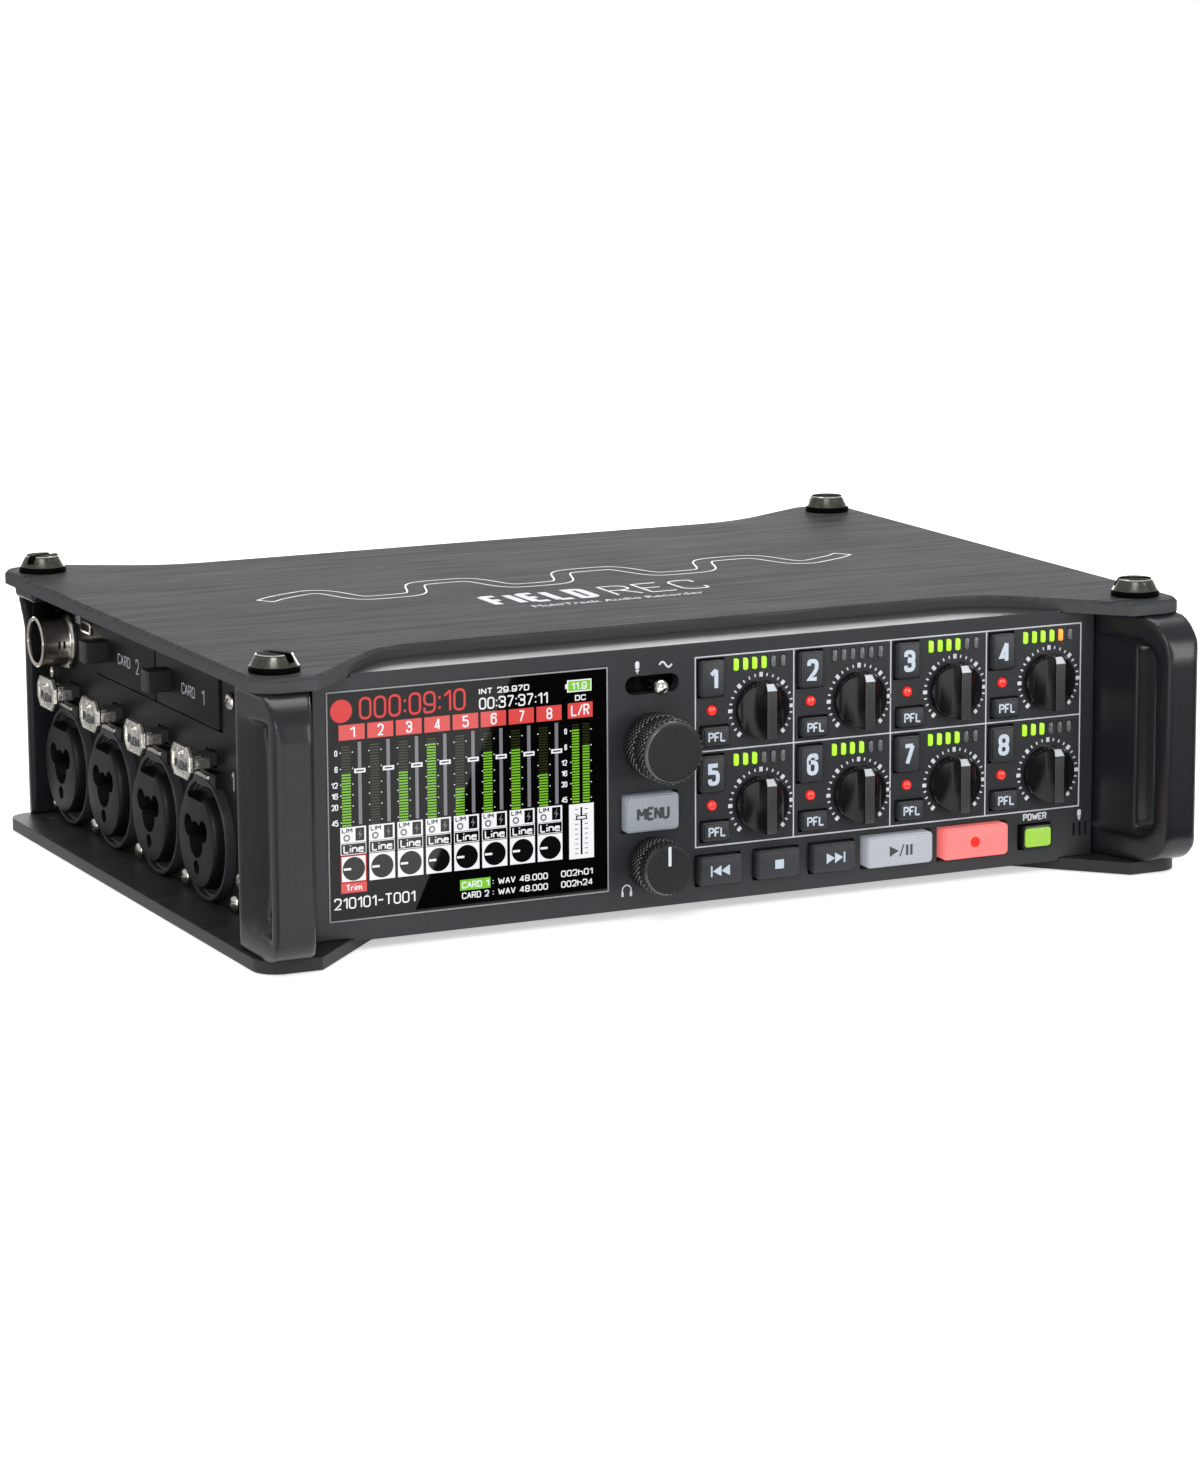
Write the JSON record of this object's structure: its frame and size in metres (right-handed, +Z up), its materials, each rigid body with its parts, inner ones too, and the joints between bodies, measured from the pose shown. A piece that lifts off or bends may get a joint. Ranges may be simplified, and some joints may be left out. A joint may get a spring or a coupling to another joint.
{
  "type": "portable field recorder",
  "caption": "Portable multitrack audio field recorder with colour display, channel knobs, lockable side inputs, card doors, battery tray and corner handles.",
  "frame": {"origin": "centre of the bottom plate's underside", "axes": "+X to the recorder's right, +Y to its back, +Z up; the display and knobs face -Y"},
  "size_m": [0.1782, 0.1401, 0.0536],
  "materials": {
    "dark_aluminium": "brushed dark anodised",
    "black_plate": "satin",
    "black_metal": "fine satin",
    "charcoal_plastic": "matt",
    "black_satin": "satin",
    "black_nickel": "polished dark nickel",
    "nickel": "polished nickel",
    "clear_window": "clear glossy window",
    "lcd_black": "display module",
    "led_plastic": "small light pipes",
    "connector_black": "satin",
    "key_grey": "rubber-like keys",
    "key_clear": "translucent grey-blue",
    "key_red": "lit translucent red",
    "key_green": "lit translucent green",
    "gloss_black": "gloss",
    "door_rubber": "matt rubber",
    "board_green": "circuit board",
    "cell_steel": "plain cell sleeves"
  },
  "bodies": {
    "chassis": {"bottom_plate": "black_plate", "top_plate": "dark_aluminium", "rear_chassis": "black_metal", "front_panel": "charcoal_plastic", "left_panel": "black_metal", "right_panel": "black_metal", "corner_handles": "black_satin", "corner_screws": "black_nickel", "panel_screws": "nickel", "display_window": "clear_window", "display_module": "lcd_black", "indicator_leds": "led_plastic", "input_jacks": "connector_black", "dc_power_connector": "nickel", "signal_connectors": "nickel", "circuit_boards": "board_green"},
    "track_knob_1": {"track_knob_1": "gloss_black"},
    "track_knob_2": {"track_knob_2": "gloss_black"},
    "track_knob_3": {"track_knob_3": "gloss_black"},
    "track_knob_4": {"track_knob_4": "gloss_black"},
    "track_knob_5": {"track_knob_5": "gloss_black"},
    "track_knob_6": {"track_knob_6": "gloss_black"},
    "track_knob_7": {"track_knob_7": "gloss_black"},
    "track_knob_8": {"track_knob_8": "gloss_black"},
    "track_key_1": {"track_key_1": "key_grey"},
    "pfl_key_1": {"pfl_key_1": "key_grey"},
    "track_key_2": {"track_key_2": "key_grey"},
    "pfl_key_2": {"pfl_key_2": "key_grey"},
    "track_key_3": {"track_key_3": "key_grey"},
    "pfl_key_3": {"pfl_key_3": "key_grey"},
    "track_key_4": {"track_key_4": "key_grey"},
    "pfl_key_4": {"pfl_key_4": "key_grey"},
    "track_key_5": {"track_key_5": "key_grey"},
    "pfl_key_5": {"pfl_key_5": "key_grey"},
    "track_key_6": {"track_key_6": "key_grey"},
    "pfl_key_6": {"pfl_key_6": "key_grey"},
    "track_key_7": {"track_key_7": "key_grey"},
    "pfl_key_7": {"pfl_key_7": "key_grey"},
    "track_key_8": {"track_key_8": "key_grey"},
    "pfl_key_8": {"pfl_key_8": "key_grey"},
    "rewind_key": {"rewind_key": "key_grey"},
    "stop_key": {"stop_key": "key_grey"},
    "forward_key": {"forward_key": "key_grey"},
    "play_key": {"play_key": "key_clear"},
    "record_key": {"record_key": "key_red"},
    "power_key": {"power_key": "key_green"},
    "menu_key": {"menu_key": "key_clear"},
    "select_encoder_shaft": {"select_encoder_shaft": "nickel"},
    "select_encoder_knob": {"select_encoder_knob": "black_satin"},
    "headphone_knob": {"headphone_knob": "black_satin"},
    "slate_toggle": {"slate_toggle": "nickel"},
    "input_latch_1": {"input_latch_1": "nickel"},
    "input_latch_2": {"input_latch_2": "nickel"},
    "input_latch_3": {"input_latch_3": "nickel"},
    "input_latch_4": {"input_latch_4": "nickel"},
    "input_latches_5_8": {"input_latches_5_8": "nickel"},
    "card_door_1": {"card_door_1": "door_rubber"},
    "card_door_2": {"card_door_2": "door_rubber"},
    "battery_tray": {"battery_tray": "black_satin", "battery_cells": "cell_steel"}
  },
  "joints": [
    {"name": "track_knob_1_turn", "type": "hinge", "parent": "chassis", "child": "track_knob_1", "pos_m": [0.0083, -0.0566, 0.035], "axis": [0, 1, 0], "range_deg": [-150, 150]},
    {"name": "track_knob_2_turn", "type": "hinge", "parent": "chassis", "child": "track_knob_2", "pos_m": [0.02765, -0.0566, 0.035], "axis": [0, 1, 0], "range_deg": [-150, 150]},
    {"name": "track_knob_3_turn", "type": "hinge", "parent": "chassis", "child": "track_knob_3", "pos_m": [0.04695, -0.0566, 0.035], "axis": [0, 1, 0], "range_deg": [-150, 150]},
    {"name": "track_knob_4_turn", "type": "hinge", "parent": "chassis", "child": "track_knob_4", "pos_m": [0.06625, -0.0566, 0.035], "axis": [0, 1, 0], "range_deg": [-150, 150]},
    {"name": "track_knob_5_turn", "type": "hinge", "parent": "chassis", "child": "track_knob_5", "pos_m": [0.0083, -0.0566, 0.0182], "axis": [0, 1, 0], "range_deg": [-150, 150]},
    {"name": "track_knob_6_turn", "type": "hinge", "parent": "chassis", "child": "track_knob_6", "pos_m": [0.02765, -0.0566, 0.0182], "axis": [0, 1, 0], "range_deg": [-150, 150]},
    {"name": "track_knob_7_turn", "type": "hinge", "parent": "chassis", "child": "track_knob_7", "pos_m": [0.04695, -0.0566, 0.0182], "axis": [0, 1, 0], "range_deg": [-150, 150]},
    {"name": "track_knob_8_turn", "type": "hinge", "parent": "chassis", "child": "track_knob_8", "pos_m": [0.06625, -0.0566, 0.0182], "axis": [0, 1, 0], "range_deg": [-150, 150]},
    {"name": "track_key_1_press", "type": "slide", "parent": "chassis", "child": "track_key_1", "axis": [0, 1, 0], "range_m": [0, 0.001], "stiffness_N_per_m": 60},
    {"name": "pfl_key_1_press", "type": "slide", "parent": "chassis", "child": "pfl_key_1", "axis": [0, 1, 0], "range_m": [0, 0.001], "stiffness_N_per_m": 60},
    {"name": "track_key_2_press", "type": "slide", "parent": "chassis", "child": "track_key_2", "axis": [0, 1, 0], "range_m": [0, 0.001], "stiffness_N_per_m": 60},
    {"name": "pfl_key_2_press", "type": "slide", "parent": "chassis", "child": "pfl_key_2", "axis": [0, 1, 0], "range_m": [0, 0.001], "stiffness_N_per_m": 60},
    {"name": "track_key_3_press", "type": "slide", "parent": "chassis", "child": "track_key_3", "axis": [0, 1, 0], "range_m": [0, 0.001], "stiffness_N_per_m": 60},
    {"name": "pfl_key_3_press", "type": "slide", "parent": "chassis", "child": "pfl_key_3", "axis": [0, 1, 0], "range_m": [0, 0.001], "stiffness_N_per_m": 60},
    {"name": "track_key_4_press", "type": "slide", "parent": "chassis", "child": "track_key_4", "axis": [0, 1, 0], "range_m": [0, 0.001], "stiffness_N_per_m": 60},
    {"name": "pfl_key_4_press", "type": "slide", "parent": "chassis", "child": "pfl_key_4", "axis": [0, 1, 0], "range_m": [0, 0.001], "stiffness_N_per_m": 60},
    {"name": "track_key_5_press", "type": "slide", "parent": "chassis", "child": "track_key_5", "axis": [0, 1, 0], "range_m": [0, 0.001], "stiffness_N_per_m": 60},
    {"name": "pfl_key_5_press", "type": "slide", "parent": "chassis", "child": "pfl_key_5", "axis": [0, 1, 0], "range_m": [0, 0.001], "stiffness_N_per_m": 60},
    {"name": "track_key_6_press", "type": "slide", "parent": "chassis", "child": "track_key_6", "axis": [0, 1, 0], "range_m": [0, 0.001], "stiffness_N_per_m": 60},
    {"name": "pfl_key_6_press", "type": "slide", "parent": "chassis", "child": "pfl_key_6", "axis": [0, 1, 0], "range_m": [0, 0.001], "stiffness_N_per_m": 60},
    {"name": "track_key_7_press", "type": "slide", "parent": "chassis", "child": "track_key_7", "axis": [0, 1, 0], "range_m": [0, 0.001], "stiffness_N_per_m": 60},
    {"name": "pfl_key_7_press", "type": "slide", "parent": "chassis", "child": "pfl_key_7", "axis": [0, 1, 0], "range_m": [0, 0.001], "stiffness_N_per_m": 60},
    {"name": "track_key_8_press", "type": "slide", "parent": "chassis", "child": "track_key_8", "axis": [0, 1, 0], "range_m": [0, 0.001], "stiffness_N_per_m": 60},
    {"name": "pfl_key_8_press", "type": "slide", "parent": "chassis", "child": "pfl_key_8", "axis": [0, 1, 0], "range_m": [0, 0.001], "stiffness_N_per_m": 60},
    {"name": "rewind_key_press", "type": "slide", "parent": "chassis", "child": "rewind_key", "axis": [0, 1, 0], "range_m": [0, 0.001], "stiffness_N_per_m": 60},
    {"name": "stop_key_press", "type": "slide", "parent": "chassis", "child": "stop_key", "axis": [0, 1, 0], "range_m": [0, 0.001], "stiffness_N_per_m": 60},
    {"name": "forward_key_press", "type": "slide", "parent": "chassis", "child": "forward_key", "axis": [0, 1, 0], "range_m": [0, 0.001], "stiffness_N_per_m": 60},
    {"name": "play_key_press", "type": "slide", "parent": "chassis", "child": "play_key", "axis": [0, 1, 0], "range_m": [0, 0.001], "stiffness_N_per_m": 60},
    {"name": "record_key_press", "type": "slide", "parent": "chassis", "child": "record_key", "axis": [0, 1, 0], "range_m": [0, 0.001], "stiffness_N_per_m": 60},
    {"name": "power_key_press", "type": "slide", "parent": "chassis", "child": "power_key", "axis": [0, 1, 0], "range_m": [0, 0.001], "stiffness_N_per_m": 60},
    {"name": "menu_key_press", "type": "slide", "parent": "chassis", "child": "menu_key", "axis": [0, 1, 0], "range_m": [0, 0.001], "stiffness_N_per_m": 60},
    {"name": "select_encoder_push", "type": "slide", "parent": "chassis", "child": "select_encoder_shaft", "axis": [0, 1, 0], "range_m": [0, 0.0006], "stiffness_N_per_m": 150},
    {"name": "select_encoder_turn", "type": "hinge", "parent": "select_encoder_shaft", "child": "select_encoder_knob", "pos_m": [-0.0129, -0.0616, 0.0306], "axis": [0, 1, 0], "continuous": true},
    {"name": "headphone_knob_turn", "type": "hinge", "parent": "chassis", "child": "headphone_knob", "pos_m": [-0.0129, -0.0566, 0.0097], "axis": [0, 1, 0], "range_deg": [-150, 150]},
    {"name": "slate_toggle_tilt", "type": "hinge", "parent": "chassis", "child": "slate_toggle", "pos_m": [-0.01275, -0.0524, 0.04105], "axis": [0, 0, 1], "range_deg": [-18, 18], "stiffness_Nm_per_rad": 0.004},
    {"name": "input_latch_1_press", "type": "slide", "parent": "chassis", "child": "input_latch_1", "axis": [1, 0, 0], "range_m": [0, 0.0015], "stiffness_N_per_m": 80},
    {"name": "input_latch_2_press", "type": "slide", "parent": "chassis", "child": "input_latch_2", "axis": [1, 0, 0], "range_m": [0, 0.0015], "stiffness_N_per_m": 80},
    {"name": "input_latch_3_press", "type": "slide", "parent": "chassis", "child": "input_latch_3", "axis": [1, 0, 0], "range_m": [0, 0.0015], "stiffness_N_per_m": 80},
    {"name": "input_latch_4_press", "type": "slide", "parent": "chassis", "child": "input_latch_4", "axis": [1, 0, 0], "range_m": [0, 0.0015], "stiffness_N_per_m": 80},
    {"name": "input_latches_5_8_press", "type": "slide", "parent": "chassis", "child": "input_latches_5_8", "axis": [-1, 0, 0], "range_m": [0, 0.0015], "stiffness_N_per_m": 200},
    {"name": "card_door_1_hinge", "type": "hinge", "parent": "chassis", "child": "card_door_1", "pos_m": [-0.07915, -0.024, 0.03815], "axis": [0, 0, 1], "range_deg": [0, 100]},
    {"name": "card_door_2_hinge", "type": "hinge", "parent": "chassis", "child": "card_door_2", "pos_m": [-0.07915, 0.00745, 0.03815], "axis": [0, 0, 1], "range_deg": [0, 100]},
    {"name": "battery_tray_slide", "type": "slide", "parent": "chassis", "child": "battery_tray", "axis": [0, 1, 0], "range_m": [0, 0.058]}
  ]
}
